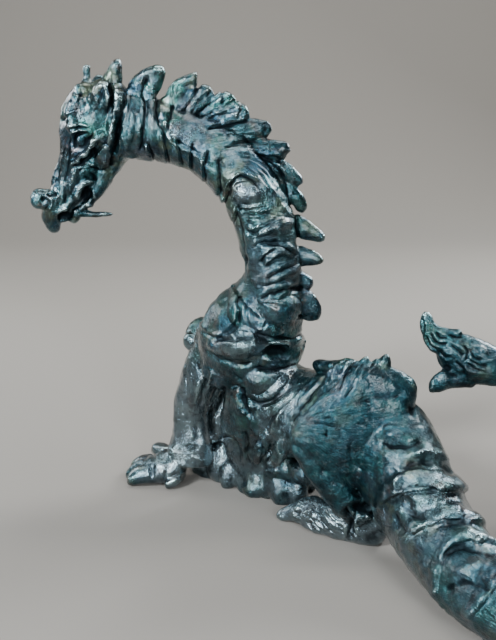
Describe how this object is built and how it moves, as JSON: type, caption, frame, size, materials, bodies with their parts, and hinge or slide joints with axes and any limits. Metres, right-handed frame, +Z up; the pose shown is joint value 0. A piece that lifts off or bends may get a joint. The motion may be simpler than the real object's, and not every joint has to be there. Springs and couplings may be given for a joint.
{
  "type": "bronze dragon sculpture",
  "caption": "Cast bronze dragon on the walk: arched neck with leaf-shaped frills, hanging head, fan-shaped haunch and a heavy tail that sweeps round and lifts at its tip.",
  "frame": {"origin": "on the floor plane, in the middle of the figure's outer box", "axes": "+X from the head toward the tail's loop, +Y away from the side that shows, +Z up"},
  "size_m": [0.3102, 0.1987, 0.205],
  "materials": {
    "bronze": "blue-green patinated cast bronze, glossy, rubbed silvery on the high edges"
  },
  "bodies": {
    "root": {"dragon": "bronze"}
  },
  "joints": []
}
